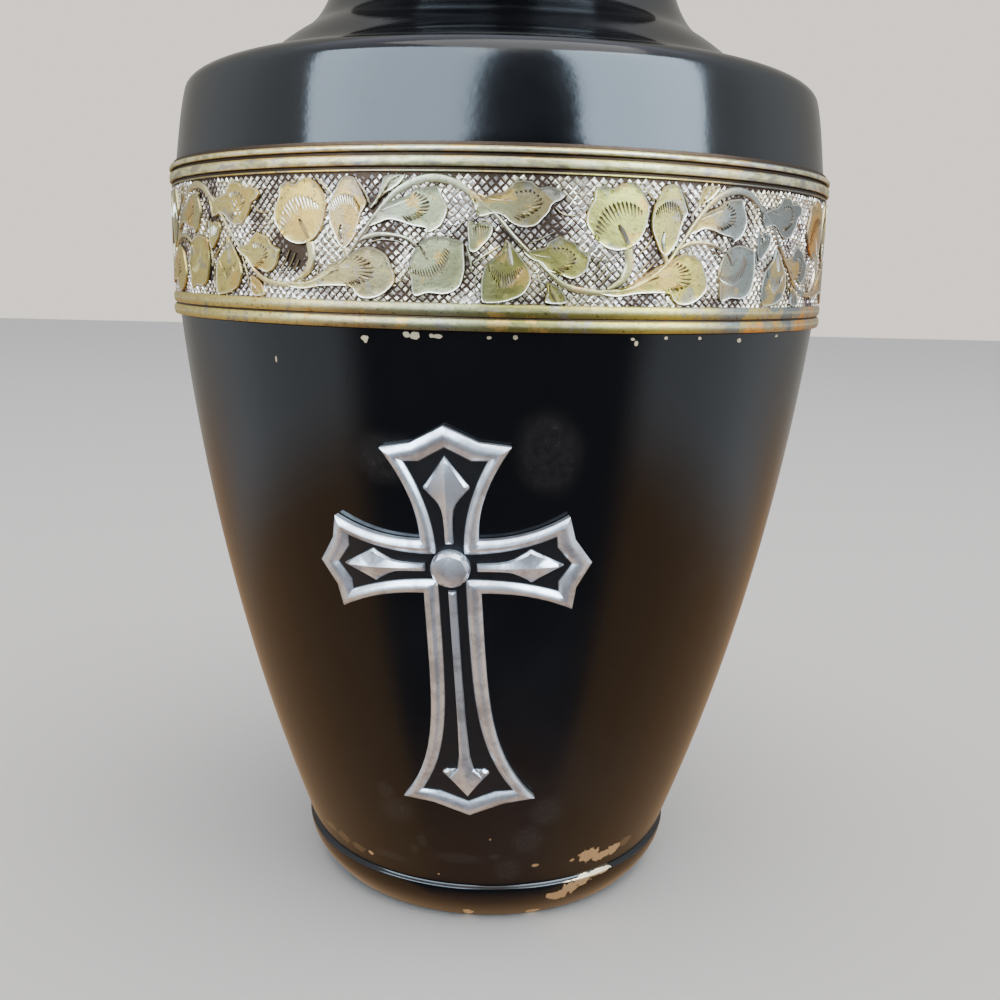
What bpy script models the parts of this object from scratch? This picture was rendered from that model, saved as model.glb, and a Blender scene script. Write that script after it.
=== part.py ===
"""Cremation urn: a lacquered brass vessel with an engraved band, a silvered cross and a lid.

Metres, +Z up, front towards -Y, origin at the centre of the foot's underside. The vessel, the
band and the lid are turned shapes on the Z axis. The band's foliage is a vine that repeats
eight times around, and the cross is drawn flat and then laid on the body's curve.
"""
import math

import bmesh
import bpy
from mathutils import Vector
from mathutils.geometry import delaunay_2d_cdt

MM = 0.001

# Driving dimensions, in millimetres
SIDES = 36                  # facets around every turned piece
WALL = 1.4                  # sheet brass
FIT = 0.3                   # clearance between pieces that touch
BELLY_RADIUS = 82.0         # lacquered body at the band
BAND_FOOT = 150.2           # height where the band starts
BAND_HEAD = 186.5           # height where the band ends
FOOT_RADIUS = 45.7
FOOT_LIP_RADIUS = 51.5
FOOT_HEIGHT = 11.4
FLOOR = 3.0                 # inner floor above the underside
WAIST_RADIUS = 42.0         # narrowest part of the neck
WAIST_HEIGHT = 237.0
MOUTH_HEIGHT = 243.5        # flat top of the mouth's rim
MOUTH_BORE = 40.6
RIM_RADIUS = 45.2
LID_RADIUS = 47.2
LID_SKIRT = 7.0             # how far the lid's skirt reaches into the neck
KNOB_RADIUS = 9.4
KNOB_CENTRE = 27.0          # above the mouth
KNOB_HALF_HEIGHT = 5.0

BAND_GROUND = 82.95         # radius of the band's field
BAND_PROUD = 83.7           # radius of its mouldings
FIELD_FOOT = 156.2
FIELD_HEAD = 180.6
REPEATS = 8
FIRST_FLOWER = -28.9        # bearing of a round flower, in degrees right of the front
LEAF_RISE = 0.75            # crown of a leaf above the field
LEAF_EDGE = 0.5             # its edge
LEAF_ROOT = 0.45            # and how deep it is let into the field
STEM_RISE = 0.6
STEM_ROOT = 0.4

CROSS_BEARING = -6.5        # boss, in degrees right of the front
CROSS_HEIGHT = 100.9
CROSS_TILT = 2.4            # foot of the cross leans to the right
PLATE = 1.1                 # floor of the cross's black channels
RIM_CREST = 2.2             # its raised border
BORDER = 2.3                # width of that border
SPINE_CREST = 2.4
BOSS_RADIUS = 4.2
BOSS_CREST = 4.4

# The body's outer line as Bezier pieces, (radius, height), bottom to top
BELLY = ((50.5, 11.4), (51.2, 16.2), (73.5, 68.0), (BELLY_RADIUS, BAND_FOOT))
SHOULDER_WALL = ((BELLY_RADIUS, BAND_HEAD), (81.3, 191.5), (80.7, 198.6), (79.4, 203.5))
SHOULDER_TURN = ((79.4, 203.5), (78.2, 208.0), (68.8, 208.8), (66.1, 209.3))
SHOULDER_TOP = ((66.1, 209.3), (60.5, 210.5), (58.7, 214.2), (51.1, 218.8))
NECK = ((51.1, 218.8), (45.2, 222.3), (WAIST_RADIUS, 232.4), (WAIST_RADIUS, WAIST_HEIGHT))

# The vine's pieces within one repeat, in millimetres right of the round flower's middle and
# above the field's foot. Each outline runs anticlockwise.
ROUND_FLOWER = ((-3.4, 22.2), (-7.0, 16.8), (-5.4, 10.8), (1.4, 9.9), (6.4, 14.4),
                (4.6, 21.8))
BELL = ((9.4, 8.6), (12.6, 10.4), (15.2, 16.2), (13.6, 22.0), (10.4, 23.4), (7.0, 16.8),
        (7.6, 11.2))
LOW_FLOWER = ((9.2, 4.2), (14.0, 0.8), (21.0, 2.6), (21.2, 8.4), (17.2, 11.2),
              (11.8, 8.8))
STEM_LEAF = ((20.0, 16.2), (29.8, 12.9), (32.0, 17.6), (31.0, 22.2), (25.4, 21.8))
KIDNEY_LEAF = ((24.8, 1.2), (32.4, 1.4), (35.6, 5.6), (34.8, 11.8), (29.6, 13.2),
               (24.6, 8.6))
TWIN_LEAF = ((38.4, 0.7), (44.2, 0.8), (47.6, 4.6), (46.4, 10.2), (42.6, 10.4),
             (38.2, 6.0))
HIGH_FLOWER = ((40.0, 18.0), (47.0, 14.2), (52.4, 17.2), (53.4, 21.8), (46.4, 23.4))
SIDE_FLOWER = ((47.8, 10.2), (53.4, 5.6), (58.2, 6.0), (59.4, 9.8), (54.0, 13.4))
LEAVES = (ROUND_FLOWER, BELL, LOW_FLOWER, STEM_LEAF, KIDNEY_LEAF, TWIN_LEAF, HIGH_FLOWER,
          SIDE_FLOWER)
# The main stem's middle line and its half width, from trough to trough
VINE = ((-3.4, 2.3, 0.9), (5.0, 3.0, 0.8), (12.6, 8.8, 0.7), (19.4, 17.6, 0.7),
        (26.8, 22.9, 0.8), (34.6, 21.9, 0.8), (42.0, 15.4, 0.8), (49.6, 6.6, 0.8),
        (61.78, 2.3, 0.9))

# Arms of the cross: length to the tip, half width of the flared end, and how sharply the
# side curves out; every arm starts at the same half width
ARM_ROOT = 6.1
TIP_STEP = 4.6              # how far the end's corners stand back from its tip
TOP_ARM = (31.0, 13.6, 2.0)
SIDE_ARM = (29.8, 10.8, 2.2)
FOOT_ARM = (67.0, 15.4, 4.5)
SIDE_STEPS = 4


def principled(name, colour, metallic, roughness):
    material = bpy.data.materials.new(name)
    material.use_nodes = True
    shader = material.node_tree.nodes["Principled BSDF"]
    shader.inputs["Base Color"].default_value = (*colour, 1.0)
    shader.inputs["Metallic"].default_value = metallic
    shader.inputs["Roughness"].default_value = roughness
    return material


def place(mesh, name, material, collection):
    mesh.materials.clear()
    mesh.materials.append(material)
    mesh.shade_smooth()
    mesh.set_sharp_from_angle(angle=math.radians(35))
    thing = bpy.data.objects.new(name, mesh)
    collection.objects.link(thing)
    return thing


def bezier(ends, steps):
    """Points of one Bezier piece, its first point left out."""
    a, b, c, d = (Vector(p) for p in ends)
    line = []
    for i in range(1, steps + 1):
        t = i / steps
        u = 1.0 - t
        line.append(tuple(u * u * u * a + 3 * u * u * t * b + 3 * u * t * t * c + t * t * t * d))
    return line


def inward(line, distance):
    """The same line moved towards the inside of the wall, its ends left out."""
    moved = []
    for before, point, after in zip(line, line[1:], line[2:]):
        run = Vector((after[0] - before[0], after[1] - before[1])).normalized()
        moved.append((point[0] - run.y * distance, point[1] + run.x * distance))
    return moved


def arc(centre, radii, first, last, steps):
    """Points of an elliptical arc between two angles in degrees."""
    line = []
    for i in range(steps + 1):
        angle = math.radians(first + (last - first) * i / steps)
        line.append((centre[0] + radii[0] * math.cos(angle), centre[1] + radii[1] * math.sin(angle)))
    return line


def turned(name, profile, material, collection, closed=False):
    """A solid of revolution from a profile that runs down its outer side."""
    mesh = bpy.data.meshes.new(name)
    shape = bmesh.new()
    verts = [shape.verts.new((r * MM, 0.0, z * MM)) for r, z in profile]
    for a, b in zip(verts, verts[1:]):
        shape.edges.new((a, b))
    if closed:
        shape.edges.new((verts[-1], verts[0]))
    shape.to_mesh(mesh)
    shape.free()
    thing = place(mesh, name, material, collection)
    screw = thing.modifiers.new("Turn", "SCREW")
    screw.steps = SIDES
    screw.render_steps = SIDES
    screw.use_merge_vertices = True
    screw.merge_threshold = 0.00005
    screw.use_normal_calculate = True
    return thing


def body_profile():
    foot = [(FOOT_RADIUS - 0.8, 0.0), (FOOT_RADIUS, 0.5), (48.6, 3.8), (50.8, 8.2),
            (FOOT_LIP_RADIUS, FOOT_HEIGHT - 0.6), (FOOT_LIP_RADIUS - 0.3, FOOT_HEIGHT)]
    belly = [BELLY[0]] + bezier(BELLY, 6)
    shoulder = [SHOULDER_WALL[0]]
    shoulder += bezier(SHOULDER_WALL, 1) + bezier(SHOULDER_TURN, 4) + bezier(SHOULDER_TOP, 3)
    neck = bezier(NECK, 3)
    rim = [(43.4, 239.6), (RIM_RADIUS, 241.4), (RIM_RADIUS, 242.6), (RIM_RADIUS - 0.9, MOUTH_HEIGHT)]
    outer = foot + belly + shoulder + neck + rim
    bore = [(MOUTH_BORE + 0.6, MOUTH_HEIGHT), (MOUTH_BORE, MOUTH_HEIGHT - 0.6),
            (MOUTH_BORE, WAIST_HEIGHT)]
    wall = [BELLY[0]] + bezier(BELLY, 3) + [SHOULDER_WALL[0]] + bezier(SHOULDER_WALL, 1)
    wall += bezier(SHOULDER_TURN, 2) + bezier(SHOULDER_TOP, 2) + bezier(NECK, 2)
    inner = inward(wall, WALL)
    floor = [(48.6, FOOT_HEIGHT + 0.6), (46.6, FLOOR + 2.6), (43.8, FLOOR), (0.0, FLOOR)]
    down_inside = bore + inner[::-1] + floor
    return down_inside[::-1] + outer[::-1] + [(0.0, 0.0)]


def lid_profile():
    seat = MOUTH_HEIGHT + FIT
    flange = [(LID_RADIUS - 2.0, seat + 3.6), (LID_RADIUS - 0.3, seat + 2.6),
              (LID_RADIUS, seat + 1.2), (LID_RADIUS - 1.2, seat)]
    knob = arc((0.0, MOUTH_HEIGHT + KNOB_CENTRE), (KNOB_RADIUS, KNOB_HALF_HEIGHT), 90, -55, 5)
    dome = [(4.8, seat + 20.0), (7.0, seat + 18.0), (20.0, seat + 15.0), (31.0, seat + 10.6),
            (38.6, seat + 5.0)]
    skirt = MOUTH_BORE - 0.6
    inside = [(skirt, seat), (skirt, seat - LID_SKIRT), (skirt - WALL, seat - LID_SKIRT),
              (skirt - WALL, seat + 1.6), (36.6, seat + 4.6), (30.0, seat + 9.2),
              (19.4, seat + 13.4), (0.0, seat + 16.2)]
    return knob + dome + flange + inside


def band_profile():
    """The ring's section: mouldings above and below the field, plain inside."""
    back = BELLY_RADIUS + FIT
    return [(back, BAND_HEAD - 0.2), (83.0, BAND_HEAD - 0.3), (BAND_PROUD - 0.1, 185.2),
            (82.8, 184.0), (BAND_PROUD, 183.2), (BAND_PROUD, 181.9), (BAND_GROUND, FIELD_HEAD),
            (BAND_GROUND, FIELD_FOOT), (BAND_PROUD, 155.4), (BAND_PROUD, 154.3), (82.8, 153.4),
            (BAND_PROUD, 152.5), (BAND_PROUD, 151.2), (back, BAND_FOOT + 0.2)]


def on_band(across, up, radius, repeat):
    """A point of the field: millimetres across one repeat and above the field's foot."""
    bearing = math.radians(FIRST_FLOWER + 360.0 * repeat / REPEATS) + across / BAND_GROUND
    return Vector((radius * math.sin(bearing), -radius * math.cos(bearing), FIELD_FOOT + up)) * MM


def add_leaf(shape, outline, repeat):
    """A pad with a domed face, let into the field."""
    top = BAND_GROUND + LEAF_RISE
    root = BAND_GROUND - LEAF_ROOT
    middle_x = sum(p[0] for p in outline) / len(outline)
    middle_y = sum(p[1] for p in outline) / len(outline)
    edge = BAND_GROUND + LEAF_EDGE
    face = [shape.verts.new(on_band(x, y, edge, repeat)) for x, y in outline]
    foot = [shape.verts.new(on_band(x, y, root, repeat)) for x, y in outline]
    crown = shape.verts.new(on_band(middle_x, middle_y, top, repeat))
    heel = shape.verts.new(on_band(middle_x, middle_y, root, repeat))
    for i, _ in enumerate(outline):
        j = (i + 1) % len(outline)
        shape.faces.new((face[i], face[j], crown))
        shape.faces.new((foot[j], foot[i], heel))
        shape.faces.new((face[i], foot[i], foot[j], face[j]))


def add_vine(shape):
    """The main stem, one closed strip around the whole band."""
    rows = []
    for repeat in range(REPEATS):
        for k in range(len(VINE) - 1):
            x, y, half = VINE[k]
            ahead = VINE[k + 1]
            behind = VINE[k - 1] if k else (VINE[-2][0] - VINE[-1][0] + x, VINE[-2][1])
            run = Vector((ahead[0] - behind[0], ahead[1] - behind[1])).normalized()
            left = (x - run.y * half, y + run.x * half)
            right = (x + run.y * half, y - run.x * half)
            top = BAND_GROUND + STEM_RISE
            root = BAND_GROUND - STEM_ROOT
            rows.append([shape.verts.new(on_band(*left, root, repeat)),
                         shape.verts.new(on_band(*left, top, repeat)),
                         shape.verts.new(on_band(*right, top, repeat)),
                         shape.verts.new(on_band(*right, root, repeat))])
    for row, after in zip(rows, rows[1:] + rows[:1]):
        for i in range(4):
            j = (i + 1) % 4
            shape.faces.new((row[i], row[j], after[j], after[i]))


def carve_band(band, cutters):
    """Joins the vine and its leaves to the ring."""
    mesh = bpy.data.meshes.new("foliage")
    shape = bmesh.new()
    for repeat in range(REPEATS):
        for outline in LEAVES:
            add_leaf(shape, outline, repeat)
    add_vine(shape)
    bmesh.ops.recalc_face_normals(shape, faces=shape.faces)
    shape.to_mesh(mesh)
    shape.free()
    foliage = bpy.data.objects.new("foliage", mesh)
    foliage.hide_render = True
    foliage.display_type = "WIRE"
    cutters.objects.link(foliage)
    union = band.modifiers.new("Foliage", "BOOLEAN")
    union.operation = "UNION"
    union.solver = "EXACT"
    union.use_self = True
    union.object = foliage


def belly_table(steps=200):
    """Radius, height and length along the body's lower line."""
    rows = []
    length = 0.0
    last = Vector(BELLY[0])
    for point in [BELLY[0]] + bezier(BELLY, steps):
        here = Vector(point)
        length += (here - last).length
        rows.append((length, here))
        last = here
    return rows


def belly_point(table, slant):
    """Radius and height at a length along the lower line, and the outward normal there."""
    for (low, a), (high, b) in zip(table, table[1:]):
        if slant <= high:
            break
    share = (slant - low) / (high - low)
    run = (b - a).normalized()
    return a.lerp(b, share), Vector((run.y, -run.x))


def on_belly(table, boss_slant, x, y, rise):
    """A point of the cross, drawn flat around its boss, laid on the body's curve."""
    tilt = math.radians(CROSS_TILT)
    across = x * math.cos(tilt) - y * math.sin(tilt)
    up = x * math.sin(tilt) + y * math.cos(tilt)
    line, normal = belly_point(table, boss_slant + up)
    bearing = math.radians(CROSS_BEARING) + across / line.x
    radius = line.x + normal.x * (FIT + rise)
    height = line.y + normal.y * (FIT + rise)
    return Vector((radius * math.sin(bearing), -radius * math.cos(bearing), height)) * MM


def arm_side(arm, inset):
    """Half of one arm from its root to its tip, as (along, aside)."""
    length, flare, power = arm
    corner = length - TIP_STEP
    root = ARM_ROOT - inset
    points = []
    for i in range(SIDE_STEPS + 1):
        t = i / SIDE_STEPS
        along = root + (corner - inset * 0.9 - root) * t
        reach = (along - root) / (corner - root)
        points.append((along, ARM_ROOT - inset + (flare - ARM_ROOT) * max(reach, 0.0) ** power))
    points.append((length - TIP_STEP * 0.78 - inset * 1.2, (flare - inset) * 0.52))
    points.append((length - inset * 1.4, 0.0))
    return points


def cross_loop(inset):
    """The cross's outline, drawn in by an inset, anticlockwise from its top."""
    arms = ((TOP_ARM, 90), (SIDE_ARM, 180), (FOOT_ARM, 270), (SIDE_ARM, 0))
    loop = []
    for arm, turn in arms:
        side = arm_side(arm, inset)
        right = [(along, -aside) for along, aside in side[1:]]
        left = [(along, aside) for along, aside in side[:-1]][::-1]
        c, s = round(math.cos(math.radians(turn))), round(math.sin(math.radians(turn)))
        loop += [(a * c - b * s, a * s + b * c) for a, b in right + left]
    return loop


def spine_loops():
    """Along every arm a narrow ridge that swells to a leaf: its outline and its crest."""
    loops = []
    crests = []
    for (length, flare, _), turn in ((TOP_ARM, 90), (SIDE_ARM, 180), (FOOT_ARM, 270), (SIDE_ARM, 0)):
        leaf = flare * 0.36
        start, swell, tip = BOSS_RADIUS + 1.2, length - TIP_STEP - 8.5, length - TIP_STEP - 1.5
        half = [(start, 0.9), (swell - 5.0, 1.3), (swell, leaf), (tip, 0.0)]
        outline = half + [(a, -b) for a, b in half[-2::-1]]
        crest = [(start + 0.8, 0.0), (swell - 4.6, 0.0), (swell, 0.0), (tip - 1.6, 0.0)]
        c, s = round(math.cos(math.radians(turn))), round(math.sin(math.radians(turn)))
        loops.append([(a * c - b * s, a * s + b * c) for a, b in outline])
        crests.append([(a * c - b * s, a * s + b * c) for a, b in crest])
    return loops, crests


def ring_points(radius, count=12):
    return [(radius * math.cos(math.tau * i / count), radius * math.sin(math.tau * i / count))
            for i in range(count)]


def cross_mesh():
    """A cast plate with a raised border, spines and a boss over sunk channels."""
    points = []
    rises = []
    edges = []

    def add(line, rise, closed=True):
        first = len(points)
        points.extend(Vector(p) for p in line)
        rises.extend([rise] * len(line))
        edges.extend((first + i, first + i + 1) for i in range(len(line) - 1))
        if closed:
            edges.append((first + len(line) - 1, first))

    outline = cross_loop(0.0)
    add(outline, PLATE)
    add(cross_loop(BORDER * 0.45), RIM_CREST)
    add(cross_loop(BORDER), PLATE)
    loops, crests = spine_loops()
    for loop, crest in zip(loops, crests):
        add(loop, PLATE)
        add(crest, SPINE_CREST, closed=False)
    add(ring_points(BOSS_RADIUS), PLATE)
    add(ring_points(BOSS_RADIUS * 0.72), BOSS_CREST * 0.8)
    add([(0.0, 0.0)], BOSS_CREST, closed=False)
    border = [list(range(len(outline)))]
    flat, _, faces, source, _, _ = delaunay_2d_cdt(points, edges, border, 1, 1e-5)
    table = belly_table()
    boss_slant = min(table, key=lambda row: abs(row[1].y - CROSS_HEIGHT))[0]
    shape = bmesh.new()
    tops = []
    backs = []
    for point, origin in zip(flat, source):
        rise = rises[origin[0]]
        tops.append(shape.verts.new(on_belly(table, boss_slant, point.x, point.y, rise)))
        backs.append(shape.verts.new(on_belly(table, boss_slant, point.x, point.y, 0.0)))
    for face in faces:
        shape.faces.new([tops[i] for i in face])
        shape.faces.new([backs[i] for i in reversed(face)])
    rims = [edge for edge in shape.edges if edge.is_boundary and edge.verts[0] in set(tops)]
    pair = dict(zip(tops, backs))
    for edge in rims:
        a, b = edge.verts
        shape.faces.new((a, b, pair[b], pair[a]))
    bmesh.ops.recalc_face_normals(shape, faces=shape.faces)
    mesh = bpy.data.meshes.new("cross")
    shape.to_mesh(mesh)
    shape.free()
    return mesh


def main():
    for thing in list(bpy.data.objects):
        bpy.data.objects.remove(thing)
    urn = bpy.data.collections.new("cremation_urn")
    cutters = bpy.data.collections.new("cutters")
    for collection in (urn, cutters):
        bpy.context.scene.collection.children.link(collection)

    lacquer = principled("black_lacquer", (0.006, 0.006, 0.008), 0.0, 0.18)
    brass = principled("engraved_brass", (0.55, 0.43, 0.19), 1.0, 0.34)
    silver = principled("silvered_metal", (0.78, 0.78, 0.80), 1.0, 0.16)

    turned("body", body_profile(), lacquer, urn)
    turned("lid", lid_profile(), lacquer, urn)
    band = turned("engraved_band", band_profile(), brass, urn, closed=True)
    carve_band(band, cutters)
    place(cross_mesh(), "cross", silver, urn)


main()
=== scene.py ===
"""Looks of the cremation urn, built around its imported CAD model.

Metres in the CAD's frame: +Z up, front towards -Y. Shapes are drawn in millimetres and scaled when
their points are made. The vessel, the lid and the band's ring are turned shapes, the foliage is one
repeat of a vine set eight times around, and the cross is drawn flat and laid on the body's curve.
"""
import math

import bmesh
import bpy
from mathutils import Matrix, Vector
from mathutils.geometry import delaunay_2d_cdt


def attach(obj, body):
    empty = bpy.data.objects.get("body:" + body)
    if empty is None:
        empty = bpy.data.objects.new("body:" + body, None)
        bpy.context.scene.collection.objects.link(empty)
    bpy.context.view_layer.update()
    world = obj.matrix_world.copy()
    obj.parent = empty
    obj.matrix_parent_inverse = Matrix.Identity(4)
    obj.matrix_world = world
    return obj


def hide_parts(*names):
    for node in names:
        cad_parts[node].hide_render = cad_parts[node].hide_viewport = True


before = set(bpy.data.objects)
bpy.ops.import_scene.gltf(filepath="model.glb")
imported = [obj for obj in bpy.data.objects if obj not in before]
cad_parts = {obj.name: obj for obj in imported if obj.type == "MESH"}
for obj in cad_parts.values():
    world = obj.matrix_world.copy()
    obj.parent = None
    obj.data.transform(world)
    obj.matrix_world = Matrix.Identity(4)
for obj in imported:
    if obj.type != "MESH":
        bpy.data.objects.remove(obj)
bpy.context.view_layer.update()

MM = 0.001
SIDES = 192                 # facets around the turned pieces

# Vessel, as in the part's source
WALL = 1.4
FIT = 0.3
BELLY_RADIUS = 82.0
BAND_FOOT = 150.2
BAND_HEAD = 186.5
FLOOR = 3.0
WAIST_RADIUS = 42.0
WAIST_HEIGHT = 237.0
MOUTH_HEIGHT = 243.5
MOUTH_BORE = 40.6
RIM_RADIUS = 45.2
BELLY = ((50.5, 11.4), (51.2, 16.2), (73.5, 68.0), (BELLY_RADIUS, BAND_FOOT))
SHOULDER_WALL = ((BELLY_RADIUS, BAND_HEAD), (81.3, 191.5), (80.7, 198.6), (79.4, 203.5))
SHOULDER_TURN = ((79.4, 203.5), (78.2, 208.0), (68.8, 208.8), (66.1, 209.3))
SHOULDER_TOP = ((66.1, 209.3), (60.5, 210.5), (58.7, 214.2), (51.1, 218.8))
NECK = ((51.1, 218.8), (45.2, 222.3), (WAIST_RADIUS, 232.4), (WAIST_RADIUS, WAIST_HEIGHT))

# Lid
LID_RADIUS = 47.2
LID_SKIRT = 7.0
KNOB_RADIUS = 9.4
KNOB_CENTRE = 27.0
KNOB_HALF_HEIGHT = 5.0

# Band
FIELD_RADIUS = 82.95        # radius that the vine is drawn on
FIELD_FOOT = 156.2
FIELD_HEAD = 180.6
GROUND_RADIUS = 82.72       # bottom of the cross-hatching
PROUD = 83.68               # crest of the mouldings
REPEATS = 8
FIRST_FLOWER = -28.9        # bearing of a round flower, in degrees right of the front
BEVEL = 0.3                 # width of a leaf's bevel, and how far in its burr ends
BURR = 0.52
LEAF_GRID = 1.2
HATCH_PITCH = 1.75
HATCH_DEPTH = 0.38

# Cross
CROSS_BEARING = -6.5
CROSS_HEIGHT = 100.9
CROSS_TILT = 2.4
PLATE = 1.0                 # floor of the black channels
RIM_CREST = 2.2
BORDER = 3.3
SPINE_CREST = 2.4
BOSS_RADIUS = 4.2
BOSS_CREST = 4.4
ARM_ROOT = 6.1
TIP_STEP = 4.6
TOP_ARM = (31.0, 13.6, 2.0)
SIDE_ARM = (29.8, 10.8, 2.2)
FOOT_ARM = (67.0, 15.4, 4.5)
ARMS = ((TOP_ARM, 90), (SIDE_ARM, 180), (FOOT_ARM, 270), (SIDE_ARM, 0))

# Wear on the body: bearing in degrees, height, and half size in degrees and millimetres
CHIPS = ((-19.1, 148.6, 0.6, 0.5), (-18.8, 148.1, 0.25, 0.6), (-12.6, 149.5, 0.5, 0.6), (-11.5, 149.4, 0.7, 0.7),
         (-9.1, 149.5, 0.3, 0.35), (-8.1, 149.4, 0.6, 0.4), (-1.0, 149.4, 0.35, 0.35), (2.6, 149.5, 0.35, 0.4),
         (19.6, 149.5, 0.4, 0.35), (20.2, 148.6, 0.3, 0.5), (24.9, 149.7, 0.3, 0.3), (31.0, 149.6, 0.3, 0.35),
         (39.4, 149.0, 0.4, 0.4), (49.7, 149.6, 0.4, 0.3), (-35.0, 143.0, 0.18, 0.8), (13.9, 17.6, 1.1, 0.55),
         (30.3, 17.4, 3.3, 2.1), (35.2, 15.9, 3.4, 1.5), (39.5, 16.6, 2.6, 1.7), (24.8, 17.3, 0.8, 0.5),
         (21.8, 7.0, 3.6, 1.7), (25.6, 8.6, 2.6, 1.8), (29.4, 9.9, 3.4, 1.5), (35.0, 10.7, 4.4, 0.7),
         (-5.0, 1.6, 1.6, 1.1), (15.5, 0.9, 2.6, 0.8), (-34.6, 15.3, 0.9, 0.6), (-13.1, 14.1, 0.35, 0.3),
         (1.1, 26.9, 0.3, 0.35), (152.0, 149.3, 0.8, 0.5), (171.0, 9.2, 2.8, 1.2), (-118.0, 149.5, 0.5, 0.4))
SCRAPES = ((-39.5, 15.3, 3.0, 1.3), (-45.6, 16.3, 3.4, 1.5), (-51.5, 17.2, 3.2, 1.3), (44.0, 17.4, 2.6, 1.6),
           (164.0, 10.1, 4.0, 1.0))
SMUDGES = ((-24.5, 38.4, 2.6, 3.0), (-22.2, 33.3, 4.6, 4.0), (-27.4, 17.0, 5.2, 1.3), (-7.4, 20.3, 6.4, 1.8),
           (-19.1, 21.4, 1.4, 1.6), (-16.6, 24.6, 1.4, 2.0), (2.5, 21.2, 2.0, 1.0), (14.8, 35.0, 4.6, 5.0),
           (10.8, 26.0, 4.6, 5.0), (6.4, 16.6, 4.6, 4.0), (-18.5, 196.0, 1.8, 5.5), (8.0, 126.0, 5.0, 9.0),
           (-16.0, 124.0, 6.0, 6.0), (-100.0, 90.0, 9.0, 14.0), (140.0, 60.0, 9.0, 10.0))
RUBBED = ((32.0, 10.7, 7.0, 0.45), (26.0, 10.7, 4.0, 0.3))

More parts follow.
